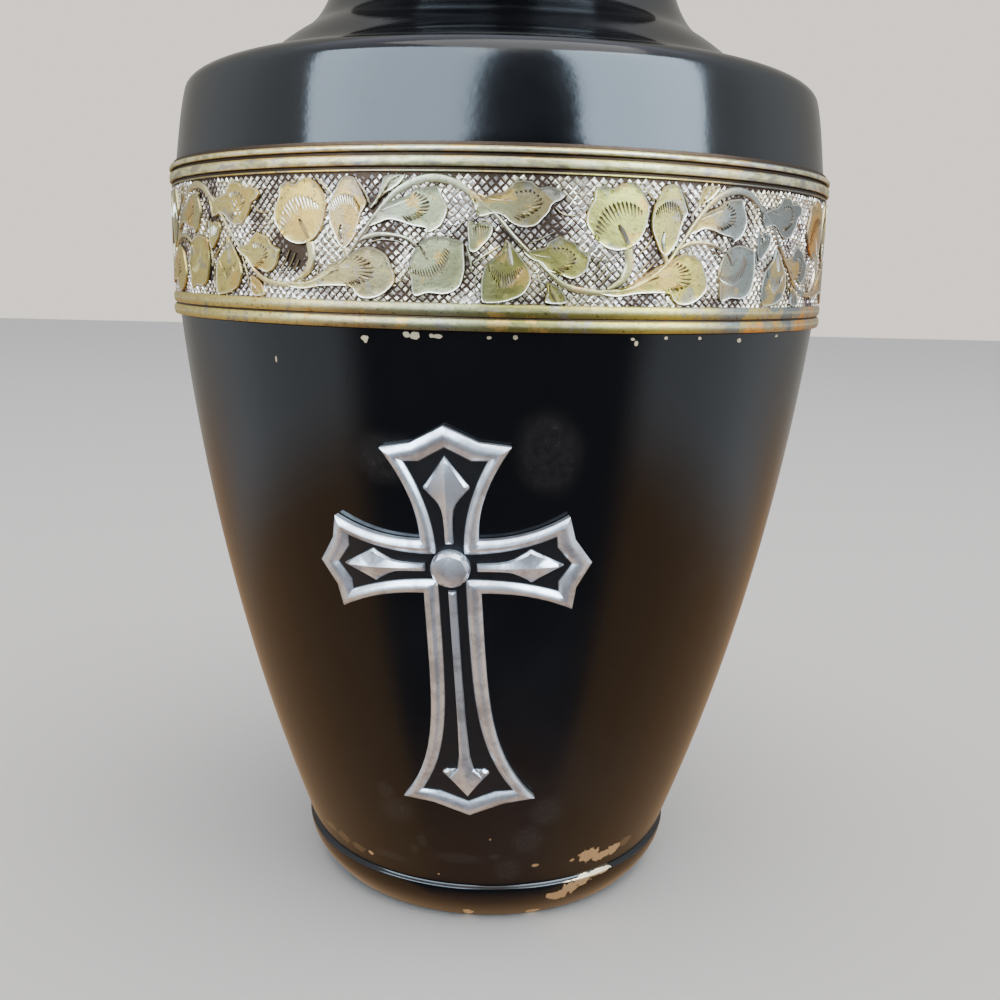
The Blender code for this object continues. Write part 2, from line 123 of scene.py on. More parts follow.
# The vine within one repeat: millimetres right of the round flower's middle and above the
# field's foot. A leaf is its outline, fans of cuts (outer line, inner line, count, half width)
# and slits (line, half width).
LEAVES = (
    (((-5.3, 20.0), (-6.4, 17.8), (-6.6, 15.5), (-5.6, 13.7), (-3.9, 11.8), (-2.0, 10.7), (0.3, 10.3),
      (2.8, 10.9), (4.8, 12.4), (6.0, 14.5), (6.6, 16.7), (6.8, 19.1), (5.7, 21.2), (4.2, 22.7),
      (2.5, 23.6), (0.6, 23.4), (-1.1, 22.4), (-2.8, 22.9), (-4.9, 22.2)),
     ((((-4.9, 12.3), (-4.4, 16.3), (-2.8, 18.9), (-0.1, 20.0), (2.8, 19.8), (4.8, 18.5)),
       ((-3.9, 12.3), (-2.3, 14.1), (-0.6, 15.7), (1.1, 16.7), (3.0, 17.1), (4.9, 17.1)), 17, 0.3),),
     ((((0.1, 15.4), (1.4, 13.5), (2.7, 11.1)), 0.55),)),
    (((8.5, 20.9), (7.6, 19.3), (7.1, 16.8), (7.3, 14.6), (8.3, 12.4), (9.3, 10.5), (10.7, 9.6),
      (12.0, 10.5), (13.4, 12.4), (14.0, 14.1), (14.6, 16.3), (15.7, 18.3), (15.2, 19.8), (14.1, 22.0),
      (12.9, 23.7), (10.7, 23.8), (9.3, 22.6)),
     ((((8.0, 18.2), (8.8, 19.6), (10.7, 20.5), (12.7, 20.1), (14.1, 18.2)),
       ((8.5, 16.7), (9.5, 17.4), (11.2, 17.9), (12.9, 17.4), (13.9, 16.1)), 15, 0.22),),
     ((((10.1, 14.4), (9.9, 12.4), (10.3, 10.7)), 0.4),)),
    (((-1.6, 1.6), (1.3, 1.5), (4.7, 2.1), (8.5, 2.3), (11.9, 2.2), (12.8, 1.1), (14.3, 0.1), (16.5, 0.0),
      (18.7, 0.7), (20.4, 1.9), (21.6, 3.4), (21.5, 5.2), (20.7, 7.0), (19.7, 8.9), (17.7, 10.1),
      (15.3, 10.5), (13.1, 9.7), (11.7, 8.8), (8.3, 7.4), (5.4, 5.5), (2.3, 3.8), (-1.1, 2.9),
      (-4.5, 2.5)),
     ((((13.9, 8.5), (16.3, 7.5), (17.3, 5.9), (17.0, 4.2), (13.9, 2.9), (11.4, 2.6)),
       ((12.5, 7.4), (13.4, 7.0), (14.0, 5.9), (13.6, 4.5), (12.7, 3.8), (11.0, 3.3)), 13, 0.32),),
     ((((-2.6, 2.5), (2.3, 3.0), (6.1, 4.6), (9.4, 5.6)), 0.3),)),
    (((18.2, 14.5), (20.1, 15.2), (22.3, 14.9), (24.9, 14.1), (27.5, 13.7), (28.2, 12.8), (30.5, 14.0),
      (31.5, 15.5), (32.1, 17.4), (31.6, 19.1), (30.9, 20.4), (31.2, 21.4), (29.8, 22.0), (26.9, 21.7),
      (24.7, 21.1), (24.1, 20.3), (21.6, 19.4), (18.9, 18.2), (17.0, 16.3), (15.3, 13.7)),
     ((((25.9, 20.6), (27.9, 19.8), (28.6, 18.5), (28.1, 16.8), (25.9, 15.5), (24.2, 15.0)),
       ((25.1, 19.8), (25.9, 19.3), (26.2, 18.2), (25.7, 17.1), (24.0, 16.3), (22.8, 16.3)), 13, 0.3),),
     ()),
    (((25.4, 10.0), (24.6, 8.3), (24.2, 6.2), (24.6, 4.0), (24.9, 1.5), (25.9, 0.7), (28.3, 1.4),
      (31.2, 1.2), (33.2, 1.8), (34.6, 2.9), (35.3, 4.8), (35.6, 7.0), (35.4, 9.7), (35.1, 11.5),
      (32.7, 12.3), (30.0, 12.7), (28.1, 12.3), (26.4, 11.4)),
     ((((24.9, 5.3), (26.7, 4.4), (29.3, 4.2), (31.8, 6.2), (32.8, 8.9)),
       ((24.7, 6.7), (26.4, 6.3), (28.4, 7.0), (30.2, 8.3), (31.2, 10.5)), 18, 0.24),),
     ((((26.0, 11.0), (27.1, 9.7), (28.2, 7.8)), 0.32),)),
    (((35.8, 11.9), (36.1, 9.7), (37.5, 9.4), (39.0, 10.8), (40.4, 12.4), (40.9, 14.1), (40.2, 15.2),
      (38.5, 15.5), (37.5, 15.1), (35.7, 15.5)),
     ((((36.9, 14.4), (38.2, 14.9), (39.7, 14.7)),
       ((37.1, 11.9), (38.3, 12.0), (39.6, 13.2)), 7, 0.24),), ()),
    (((42.3, 10.0), (40.4, 8.3), (39.0, 6.8), (38.4, 4.5), (38.3, 2.1), (38.9, -0.1), (42.3, -0.1),
      (45.0, 0.6), (47.1, 1.7), (48.1, 3.3), (48.5, 4.7), (47.9, 7.0), (46.9, 8.3), (45.0, 10.8),
      (43.2, 12.4)),
     ((((40.4, 5.6), (41.4, 3.7), (43.1, 2.6), (45.0, 3.7), (46.6, 6.4)),
       ((39.9, 7.4), (41.5, 6.8), (43.1, 6.4), (44.9, 6.5), (46.3, 7.0)), 17, 0.24),),
     ((((43.4, 11.4), (43.9, 9.2), (44.4, 7.2)), 0.6),)),
    (((36.0, 20.5), (36.8, 18.2), (38.0, 16.1), (40.9, 16.7), (42.8, 16.1), (43.9, 15.1), (46.3, 14.2),
      (48.9, 14.6), (50.3, 15.9), (51.5, 17.2), (52.2, 18.7), (53.8, 19.5), (54.6, 20.6), (53.6, 21.7),
      (51.3, 22.3), (49.2, 22.1), (48.1, 23.1), (46.1, 23.4), (44.5, 23.0), (43.7, 22.0), (42.3, 21.0),
      (40.2, 20.6), (37.8, 19.8)),
     ((((45.0, 21.1), (47.7, 21.4), (49.5, 20.4), (50.3, 19.0), (49.2, 17.5), (46.1, 15.8)),
       ((45.0, 20.0), (46.5, 20.2), (47.8, 19.8), (48.1, 18.9), (47.2, 17.8), (44.4, 16.5)), 14, 0.32),),
     ((((36.9, 20.0), (37.3, 18.8), (37.9, 16.6)), 0.4),)),
    (((48.1, 8.3), (50.1, 7.5), (51.3, 6.1), (53.5, 5.6), (55.9, 4.7), (57.8, 5.2), (59.2, 6.4),
      (59.7, 8.1), (60.0, 9.6), (57.8, 10.5), (56.8, 11.9), (54.7, 12.7), (53.5, 13.2), (52.5, 12.7),
      (51.3, 11.9), (50.6, 10.9), (48.6, 10.5), (46.5, 9.9)),
     ((((52.5, 10.8), (54.9, 10.8), (56.7, 9.7), (57.0, 8.3), (56.0, 7.0), (54.2, 5.8)),
       ((52.7, 9.7), (53.8, 9.7), (55.0, 9.1), (55.2, 8.2), (54.2, 7.3), (52.5, 6.4)), 12, 0.3),), ()),
    (((51.3, 2.1), (51.1, 0.0), (55.5, 0.0), (54.7, 2.6), (52.7, 4.0), (51.3, 4.2)), (),
     ((((51.6, 3.8), (52.4, 2.0), (53.4, 0.4)), 0.35),)),
    (((18.4, 22.0), (17.7, 20.1), (16.2, 17.8), (16.8, 17.4), (18.7, 19.6), (20.9, 20.9), (22.8, 22.4),
      (23.5, 24.1), (19.4, 23.9)), (),
     ((((22.4, 23.6), (20.6, 22.6), (19.4, 20.8), (17.6, 18.6)), 0.25),)),
)
# Stems: points of the middle line with the half width there
STEMS = (
    ((-3.2, 2.3, 0.7), (4.0, 3.4, 0.6), (10.6, 7.6, 0.5), (14.2, 12.0, 0.5), (18.6, 17.6, 0.6),
     (22.4, 21.2, 0.8), (27.4, 23.2, 0.95), (32.4, 22.8, 0.9), (37.0, 20.0, 0.7), (41.4, 16.4, 0.5),
     (44.6, 12.8, 0.5), (48.2, 9.4, 0.45), (51.6, 6.0, 0.5), (55.6, 3.3, 0.75), (61.99, 2.3, 0.7)),
    ((13.1, 10.6, 0.3), (15.3, 12.0, 0.55), (18.2, 12.6, 0.6), (21.6, 12.4, 0.5), (24.2, 11.7, 0.4),
     (26.4, 10.0, 0.2)),
    ((2.5, 10.9, 1.1), (2.9, 7.8, 1.0), (1.6, 5.0, 0.8), (-1.6, 3.0, 0.4)),
    ((10.4, 10.4, 0.7), (11.2, 8.6, 0.6), (12.4, 7.2, 0.3)),
    ((17.4, 16.6, 0.3), (20.4, 17.6, 0.6), (22.6, 18.4, 0.8), (24.4, 19.0, 0.85)),
    ((37.6, 20.4, 0.3), (40.6, 19.4, 0.5), (44.4, 19.3, 0.6)),
    ((47.0, 10.4, 0.25), (49.1, 9.2, 0.5), (52.1, 8.8, 0.6)),
    ((9.6, 6.0, 0.7), (12.2, 6.1, 0.8)),
    ((4.0, 23.7, 0.2), (5.9, 22.0, 0.28), (7.7, 20.2, 0.2)),
    ((13.1, 23.4, 0.2), (14.9, 21.0, 0.3), (16.3, 18.2, 0.2)),
    ((35.7, 10.8, 0.2), (36.4, 8.3, 0.3), (36.7, 5.8, 0.2)),
    ((42.2, 10.9, 0.25), (40.0, 9.5, 0.3), (37.0, 7.5, 0.2)),
    ((38.0, 6.6, 0.15), (37.4, 4.0, 0.2), (37.5, 1.4, 0.15)),
    ((48.2, 8.3, 0.15), (49.2, 6.2, 0.25), (50.0, 4.2, 0.25), (50.5, 1.6, 0.15)),
    ((47.8, 11.4, 0.15), (50.0, 12.4, 0.2), (52.4, 13.6, 0.15)),
    ((59.2, 3.9, 0.12), (61.2, 7.0, 0.16), (62.4, 9.4, 0.12)),
    ((60.5, 3.9, 0.12), (62.6, 6.4, 0.16), (63.9, 8.8, 0.12)),
    ((61.9, 3.7, 0.12), (63.8, 5.8, 0.16), (64.8, 7.4, 0.12)),
    ((15.5, 10.9, 0.12), (18.7, 11.6, 0.18), (22.4, 11.2, 0.18), (24.6, 9.8, 0.12)),
    ((2.6, 4.4, 0.12), (5.0, 6.5, 0.16), (7.2, 8.6, 0.12)),
    ((3.8, 4.2, 0.12), (6.0, 6.2, 0.16), (8.4, 8.4, 0.12)),
    ((7.9, 13.9, 0.12), (6.6, 11.6, 0.18), (4.6, 9.6, 0.12)),
    ((32.5, 12.9, 0.15), (34.4, 14.6, 0.2), (35.4, 16.6, 0.15)),
    ((52.6, 18.2, 0.15), (54.2, 17.0, 0.2), (56.8, 16.8, 0.15)),
)
STEM_SECTION = ((-1.0, -0.45), (-1.0, -0.05), (-0.62, 0.42), (0.0, 0.52), (0.62, 0.42), (1.0, -0.05),
                (1.0, -0.45))


# ---------------------------------------------------------------- node trees

class Signal:
    """One output of a node. Sums on it add Math nodes."""

    def __init__(self, tree, socket):
        self.tree = tree
        self.socket = socket

    def maths(self, operation, *values):
        return self.tree.node("ShaderNodeMath", {"operation": operation}, dict(enumerate(values)))

    def __add__(self, other):
        return self.maths("ADD", self, other)

    def __radd__(self, other):
        return self.maths("ADD", other, self)

    def __sub__(self, other):
        return self.maths("SUBTRACT", self, other)

    def __rsub__(self, other):
        return self.maths("SUBTRACT", other, self)

    def __mul__(self, other):
        return self.maths("MULTIPLY", self, other)

    def __rmul__(self, other):
        return self.maths("MULTIPLY", other, self)

    def __truediv__(self, other):
        return self.maths("DIVIDE", self, other)

    def __pow__(self, other):
        return self.maths("POWER", self, other)

    def lowest(self, other):
        return self.maths("MINIMUM", self, other)

    def highest(self, other):
        return self.maths("MAXIMUM", self, other)

    def step(self, low, high):
        """0 below low, 1 above high, and smooth between; low may be the larger."""
        return self.tree.node("ShaderNodeMapRange", {"interpolation_type": "SMOOTHSTEP"},
                              {"Value": self, "From Min": low, "From Max": high})


class Tree:
    """A node tree that is built call by call."""

    def __init__(self, tree):
        self.tree = tree

    def node(self, kind, settings=(), inputs=(), output=0):
        made = self.tree.nodes.new(kind)
        for key, value in dict(settings).items():
            if key == "stops":
                ramp = made.color_ramp.elements
                while len(ramp) < len(value):
                    ramp.new(0.5)
                for stop, (place, colour) in zip(ramp, value):
                    stop.position = place
                    stop.color = (*colour, 1.0)
            else:
                setattr(made, key, value)
        for key, value in dict(inputs).items():
            self.feed(made.inputs[key], value)
        return Signal(self, made.outputs[output])

    def feed(self, socket, value):
        if isinstance(value, Signal):
            self.tree.links.new(value.socket, socket)
        elif socket.type == "RGBA" and len(value) == 3:
            socket.default_value = (*value, 1.0)
        else:
            socket.default_value = value


class Paint(Tree):
    """A material: its Principled shader and what leads to it."""

    def __init__(self, name, **constants):
        self.material = bpy.data.materials.new(name)
        self.material.use_nodes = True
        super().__init__(self.material.node_tree)
        self.shader = self.tree.nodes["Principled BSDF"]
        for socket, value in constants.items():
            self.shader.inputs[socket.replace("_", " ")].default_value = value
        self.place = self.node("ShaderNodeTexCoord", output="Object")

    def finish(self, **sockets):
        for socket, value in sockets.items():
            self.feed(self.shader.inputs[socket.replace("_", " ")], value)
        return self.material

    def noise(self, scale, detail=3.0, roughness=0.55, vector=None):
        return self.node("ShaderNodeTexNoise", {},
                         {"Vector": vector or self.place, "Scale": scale, "Detail": detail,
                          "Roughness": roughness})

    def stretched(self, factors):
        """Object coordinates scaled on each axis."""
        return self.node("ShaderNodeVectorMath", {"operation": "MULTIPLY"},
                         {0: self.place, 1: factors})

    def mix(self, share, first, second, blend="MIX"):
        return self.node("ShaderNodeMix", {"data_type": "RGBA", "blend_type": blend},
                         {0: share, 6: first, 7: second}, output=2)

    def ramp(self, value, *stops):
        return self.node("ShaderNodeValToRGB", {"stops": stops}, {"Fac": value})

    def bump(self, height, distance, strength=1.0, normal=None):
        inputs = {"Height": height, "Distance": distance, "Strength": strength}
        if normal:
            inputs["Normal"] = normal
        return self.node("ShaderNodeBump", {}, inputs)

    def axes(self):
        """Object X, Y and Z in millimetres."""
        parts = self.node("ShaderNodeSeparateXYZ", {}, {0: self.stretched((1000.0, 1000.0, 1000.0))})
        sockets = parts.socket.node.outputs
        return [Signal(self, sockets[i]) for i in range(3)]

    def attribute(self, name):
        return self.node("ShaderNodeAttribute", {"attribute_name": name}, {}, output="Fac")


def geometry_tree(name, inputs):
    """An empty Geometry Nodes tree with named inputs, and their identifiers."""
    group = bpy.data.node_groups.new(name, "GeometryNodeTree")
    group.interface.new_socket("Geometry", in_out="INPUT", socket_type="NodeSocketGeometry")
    keys = {}
    for label, kind in inputs:
        keys[label] = group.interface.new_socket(label, in_out="INPUT", socket_type=kind).identifier
    group.interface.new_socket("Geometry", in_out="OUTPUT", socket_type="NodeSocketGeometry")
    tree = Tree(group)
    source = group.nodes.new("NodeGroupInput")
    return tree, keys, {s.name: Signal(tree, s) for s in source.outputs if s.name}


def close_tree(tree, geometry, finish):
    """Realizes what a tree made, paints it and hands it out."""
    real = tree.node("GeometryNodeRealizeInstances", {}, {0: geometry})
    smooth = tree.node("GeometryNodeSetShadeSmooth", {}, {0: real})
    painted = tree.node("GeometryNodeSetMaterial", {}, {0: smooth, "Material": finish})
    tree.feed(tree.tree.nodes.new("NodeGroupOutput").inputs[0], painted)


def formed(name, mesh, tree, keys, values):
    """Runs a tree on a mesh and returns an object with the plain result."""
    thing = bpy.data.objects.new(name, mesh)
    bpy.context.scene.collection.objects.link(thing)
    modifier = thing.modifiers.new("Form", "NODES")
    modifier.node_group = tree.tree
    for label, value in values.items():
        modifier[keys[label]] = value
    graph = bpy.context.evaluated_depsgraph_get()
    result = bpy.data.meshes.new_from_object(thing.evaluated_get(graph), depsgraph=graph)
    thing.modifiers.remove(modifier)
    thing.data = result
    result.name = name
    return thing


def wander(tree, copies, scale, distance):
    """Realizes copies and shifts their points by a slow noise, as hand work drifts."""
    real = tree.node("GeometryNodeRealizeInstances", {}, {0: copies})
    drift = tree.node("ShaderNodeTexNoise", {}, {"Scale": scale, "Detail": 1.0}, output="Color")
    centred = tree.node("ShaderNodeVectorMath", {"operation": "SUBTRACT"}, {0: drift, 1: (0.5,) * 3})
    offset = tree.node("ShaderNodeVectorMath", {"operation": "SCALE"}, {0: centred, "Scale": distance})
    return tree.node("GeometryNodeSetPosition", {}, {"Geometry": real, "Offset": offset})


def lathe_tree():
    """Turns a profile, a row of points in the XZ plane, around the Z axis."""
    tree, keys, given = geometry_tree("lathe", [("Sides", "NodeSocketInt"),
                                                ("Finish", "NodeSocketMaterial")])
    rows = tree.node("GeometryNodeAttributeDomainSize", {"component": "MESH"}, {0: given["Geometry"]})
    grid = tree.node("GeometryNodeMeshGrid", {}, {"Vertices X": given["Sides"] + 1, "Vertices Y": rows})
    index = tree.node("GeometryNodeInputIndex")
    row = index.maths("MODULO", index, rows)
    column = index.maths("FLOOR", index / rows)
    profile = tree.node("GeometryNodeSampleIndex", {"data_type": "FLOAT_VECTOR", "domain": "POINT"},
                        {"Geometry": given["Geometry"], "Value": tree.node("GeometryNodeInputPosition"),
                         "Index": row})
    parts = tree.node("ShaderNodeSeparateXYZ", {}, {0: profile}).socket.node.outputs
    radius, height = Signal(tree, parts[0]), Signal(tree, parts[2])
    turn = column * math.tau / given["Sides"]
    place = tree.node("ShaderNodeCombineXYZ", {}, {0: radius * turn.maths("SINE", turn),
                                                   1: 0.0 - radius * turn.maths("COSINE", turn),
                                                   2: height})
    laid = tree.node("GeometryNodeSetPosition", {}, {"Geometry": grid, "Position": place})
    joined = tree.node("GeometryNodeMergeByDistance", {}, {"Geometry": laid, "Distance": 0.00001})
    close_tree(tree, joined, given["Finish"])
    return tree, keys


def repeat_tree():
    """Sets one repeat of the foliage around the Z axis, and lets the cuts wander a little."""
    tree, keys, given = geometry_tree("around_the_band", [("Repeats", "NodeSocketInt"),
                                                          ("Wander", "NodeSocketFloat"),
                                                          ("Finish", "NodeSocketMaterial")])
    spots = tree.node("GeometryNodeMeshLine", {}, {"Count": given["Repeats"], "Offset": (0, 0, 0)})
    index = tree.node("GeometryNodeInputIndex")
    turn = tree.node("ShaderNodeCombineXYZ", {}, {2: index * math.tau / given["Repeats"]})
    copies = tree.node("GeometryNodeInstanceOnPoints", {},
                       {"Points": spots, "Instance": given["Geometry"], "Rotation": turn})
    close_tree(tree, wander(tree, copies, 70.0, given["Wander"]), given["Finish"])
    return tree, keys


def hatch_tree():
    """Covers the band's field with small pyramids, one on each point of a staggered lattice."""
    tree, keys, given = geometry_tree(
        "hatching", [("Columns", "NodeSocketInt"), ("Rows", "NodeSocketInt"), ("Radius", "NodeSocketFloat"),
                     ("Foot", "NodeSocketFloat"), ("Rise", "NodeSocketFloat"), ("Wander", "NodeSocketFloat"),
                     ("Seed", "NodeSocketInt"),
                     ("Finish", "NodeSocketMaterial")])
    grid = tree.node("GeometryNodeMeshGrid", {}, {"Vertices X": given["Columns"],
                                                  "Vertices Y": given["Rows"]})
    index = tree.node("GeometryNodeInputIndex")
    row = index.maths("MODULO", index, given["Rows"])
    column = index.maths("FLOOR", index / given["Rows"])
    turn = (column + 0.5 * row.maths("MODULO", row, 2)) * math.tau / given["Columns"]
    place = tree.node("ShaderNodeCombineXYZ", {}, {0: given["Radius"] * turn.maths("SINE", turn),
                                                   1: 0.0 - given["Radius"] * turn.maths("COSINE", turn),
                                                   2: given["Foot"] + row * given["Rise"]})
    laid = tree.node("GeometryNodeSetPosition", {}, {"Geometry": grid, "Position": place})
    spots = tree.node("GeometryNodeMeshToPoints", {}, {"Mesh": laid})
    depth = tree.node("FunctionNodeRandomValue", {"data_type": "FLOAT"},
                      {"Min": 0.6, "Max": 1.0, "Seed": given["Seed"]}, output=1)
    lean, tip, twist = (tree.node("FunctionNodeRandomValue", {"data_type": "FLOAT"},
                                  {"Min": -0.16, "Max": 0.16, "Seed": given["Seed"] + k}, output=1)
                        for k in (1, 2, 3))
    facing = tree.node("ShaderNodeCombineXYZ", {}, {0: tip, 1: lean, 2: turn + twist})
    size = tree.node("ShaderNodeCombineXYZ", {}, {0: 1.0, 1: depth, 2: 1.0})
    copies = tree.node("GeometryNodeInstanceOnPoints", {},
                       {"Points": spots, "Instance": given["Geometry"], "Rotation": facing,
                        "Scale": size})
    close_tree(tree, wander(tree, copies, 120.0, given["Wander"]), given["Finish"])
    return tree, keys


# ---------------------------------------------------------------- lines and outlines

def bezier(ends, steps):
    a, b, c, d = (Vector(p) for p in ends)
    line = []
    for i in range(1, steps + 1):
        t = i / steps
        u = 1.0 - t
        line.append(tuple(u * u * u * a + 3 * u * u * t * b + 3 * u * t * t * c + t * t * t * d))
    return line


def arc(centre, radii, first, last, steps):
    line = []
    for i in range(steps + 1):
        angle = math.radians(first + (last - first) * i / steps)
        line.append((centre[0] + radii[0] * math.cos(angle), centre[1] + radii[1] * math.sin(angle)))
    return line


def inward(line, distance):
    """The same line moved towards the inside of the wall, its ends left out."""
    moved = []
    for before, point, after in zip(line, line[1:], line[2:]):
        run = Vector((after[0] - before[0], after[1] - before[1])).normalized()
        moved.append((point[0] - run.y * distance, point[1] + run.x * distance))
    return moved


def curve_through(points, steps, closed=False):
    """A smooth line through points of any size, with a number of steps to each stretch."""
    points = [Vector(p) for p in points]
    count = len(points)
    line = []
    for i in range(count if closed else count - 1):
        if closed:
            a, b, c, d = (points[(i + k) % count] for k in (-1, 0, 1, 2))
        else:
            a, b, c, d = (points[min(max(i + k, 0), count - 1)] for k in (-1, 0, 1, 2))
        for k in range(steps):
            t = k / steps
            line.append(0.5 * (2 * b + (c - a) * t + (2 * a - 5 * b + 4 * c - d) * t * t
                               + (3 * b - a - 3 * c + d) * t * t * t))
    if not closed:
        line.append(points[-1])
    return line


def resampled(points, count):
    """Points at equal distances along a line."""
    line = curve_through(points, 8)
    lengths = [0.0]
    for a, b in zip(line, line[1:]):
        lengths.append(lengths[-1] + (b - a).length)
    found = []
    k = 0
    for i in range(count):
        goal = lengths[-1] * i / (count - 1)
        while k < len(line) - 2 and lengths[k + 1] < goal:
            k += 1
        share = (goal - lengths[k]) / max(lengths[k + 1] - lengths[k], 1e-9)
        found.append(line[k].lerp(line[k + 1], share))
    return found


def distance_to(loop, point):
    """Shortest distance from a point to a closed outline."""
    best = 1e9
    for a, b in zip(loop, loop[1:] + loop[:1]):
        run = b - a
        share = min(max((point - a).dot(run) / max(run.length_squared, 1e-12), 0.0), 1.0)
        best = min(best, (point - a - run * share).length)
    return best


def inside(loop, point):
    odd = False
    for a, b in zip(loop, loop[1:] + loop[:1]):
        if (a.y > point.y) != (b.y > point.y):
            if point.x < a.x + (b.x - a.x) * (point.y - a.y) / (b.y - a.y):
                odd = not odd
    return odd


def shrunk(loop, distance):
    """An anticlockwise outline drawn in by a distance."""
    found = []
    count = len(loop)
    for i, point in enumerate(loop):
        run = (loop[(i + 1) % count] - loop[i - 1]).normalized()
        found.append(point + Vector((-run.y, run.x)) * distance)
    return found


class Relief:
    """A drawing whose points carry a height and a tag, cut into triangles along its lines."""

    def __init__(self, outline, rise, tag=None):
        self.points = []
        self.rises = []
        self.tags = []
        self.edges = []
        self.add(outline, rise, tag=tag)
        self.border = list(range(len(outline)))

    def add(self, line, rise, closed=True, tag=None):
        first = len(self.points)
        self.points.extend(Vector(p) for p in line)
        self.rises.extend(rise if isinstance(rise, (list, tuple)) else [rise] * len(line))
        self.tags.extend(tag if isinstance(tag, list) else [tag] * len(line))
        self.edges.extend((first + i, first + i + 1) for i in range(len(line) - 1))
        if closed:
            self.edges.append((first + len(line) - 1, first))
        return first

    def tie(self, first, second):
        self.edges.append((first, second))

    def triangles(self, otherwise):
        """Points, heights and tags, and the triangles; otherwise(point) where lines cross."""
        flat, _, faces, source, _, _ = delaunay_2d_cdt(self.points, self.edges, [self.border], 1, 1e-5)
        rises = []
        tags = []
        for point, origin in zip(flat, source):
            rises.append(self.rises[origin[0]] if origin else otherwise(point))
            tags.append(self.tags[origin[0]] if origin else None)
        return flat, rises, tags, faces


# ---------------------------------------------------------------- the pieces

def polyline(name, points):
    mesh = bpy.data.meshes.new(name)
    mesh.from_pydata([(r * MM, 0.0, z * MM) for r, z in points], [(i, i + 1) for i in range(len(points) - 1)],
                     [])
    return mesh


def sharpened(thing, degrees):
    thing.data.set_sharp_from_angle(angle=math.radians(degrees))
    return thing


def body_profile():
    foot = [(44.9, 0.0), (45.4, 0.15), (45.7, 0.5)] + bezier(((45.7, 0.5), (47.6, 2.6), (50.2, 5.6), (50.9, 8.6)), 8)
    foot += [(51.15, 9.8), (51.25, 10.4), (51.2, 10.75), (51.0, 10.95), (50.75, 11.05)]
    belly = [BELLY[0]] + bezier(BELLY, 44)
    shoulder = [SHOULDER_WALL[0]] + bezier(SHOULDER_WALL, 8) + bezier(SHOULDER_TURN, 16)
    shoulder += bezier(SHOULDER_TOP, 14)
    neck = bezier(NECK, 14)
    rim = [(42.3, 238.4), (43.0, 239.6), (44.2, 240.6), (45.0, 241.2), (RIM_RADIUS, 241.9),
           (RIM_RADIUS, 242.6), (44.9, 243.2), (44.3, MOUTH_HEIGHT)]
    bore = [(MOUTH_BORE + 0.6, MOUTH_HEIGHT), (MOUTH_BORE + 0.15, MOUTH_HEIGHT - 0.2),
            (MOUTH_BORE, MOUTH_HEIGHT - 0.6), (MOUTH_BORE, WAIST_HEIGHT)]
    wall = [BELLY[0]] + bezier(BELLY, 12) + [SHOULDER_WALL[0]] + bezier(SHOULDER_WALL, 2)
    wall += bezier(SHOULDER_TURN, 6) + bezier(SHOULDER_TOP, 5) + bezier(NECK, 5)
    inner = inward(wall, WALL)
    floor = [(48.6, 12.0), (46.6, FLOOR + 2.6), (43.8, FLOOR), (0.0, FLOOR)]
    down_inside = bore + inner[::-1] + floor
    return [(0.0, 0.0)] + foot + belly + shoulder + neck + rim + down_inside


def lid_profile():
    seat = MOUTH_HEIGHT + FIT
    skirt = MOUTH_BORE - 0.6
    knob = arc((0.0, MOUTH_HEIGHT + KNOB_CENTRE), (KNOB_RADIUS, KNOB_HALF_HEIGHT), 90, -50, 22)
    stem = bezier((knob[-1], (4.2, seat + 22.0), (4.4, seat + 20.2), (6.4, seat + 18.4)), 8)
    dome = bezier(((6.4, seat + 18.4), (9.0, seat + 17.4), (28.0, seat + 15.0), (38.6, seat + 5.0)), 18)
    flange = [(40.4, seat + 4.3), (42.6, seat + 4.0), (45.0, seat + 3.6), (46.4, seat + 3.1),
              (47.0, seat + 2.2), (LID_RADIUS, seat + 1.3), (46.8, seat + 0.4), (LID_RADIUS - 1.2, seat)]
    inside_line = [(skirt, seat), (skirt, seat - LID_SKIRT), (skirt - WALL, seat - LID_SKIRT),
                   (skirt - WALL, seat + 1.6), (36.6, seat + 4.4), (30.0, seat + 9.0), (19.4, seat + 13.2),
                   (0.0, seat + 15.6)]
    return (knob + stem + dome + flange + inside_line)[::-1]


def ring_profile():
    back = BELLY_RADIUS + FIT

    def fillet(top, foot):
        """A flat moulding with small bevels."""
        return [(82.95, top), (PROUD - 0.3, top - 0.05), (PROUD - 0.1, top - 0.3), (PROUD - 0.02, top - 0.42),
                (PROUD, (top + foot) / 2), (PROUD - 0.03, foot + 0.25), (PROUD - 0.12, foot + 0.1),
                (PROUD - 0.3, foot + 0.03), (82.95, foot)]

    def torus(top, foot):
        """A rounded moulding, fuller below."""
        return [(82.9, top), (83.12, top - 0.02)] + bezier(((83.12, top - 0.02), (PROUD + 0.02, top - 0.35),
                (PROUD + 0.06, foot + 0.9), (83.25, foot + 0.06)), 9) + [(82.95, foot)]

    line = [(back, 186.3), (82.7, 186.3), (82.75, 185.7)] + fillet(185.55, 184.3)
    line += [(82.72, 184.2), (82.72, 183.75)] + fillet(183.65, 181.6)
    line += [(82.72, 181.5), (82.72, 181.1), (83.12, 181.0), (83.2, 180.75), (83.1, 180.6),
             (GROUND_RADIUS, FIELD_HEAD)]
    line += [(GROUND_RADIUS, 156.1)] + torus(156.0, 153.4) + [(82.85, 153.3), (82.85, 153.15)]
    line += torus(153.05, 150.6) + [(82.7, 150.5), (back, 150.4)]
    return line[::-1] + [(back, 186.3)]


def on_band(across, up, rise):
    """A point of the vine, millimetres above the field."""
    bearing = math.radians(FIRST_FLOWER) + across / FIELD_RADIUS
    radius = FIELD_RADIUS + rise
    return Vector((radius * math.sin(bearing), -radius * math.cos(bearing), FIELD_FOOT + up)) * MM


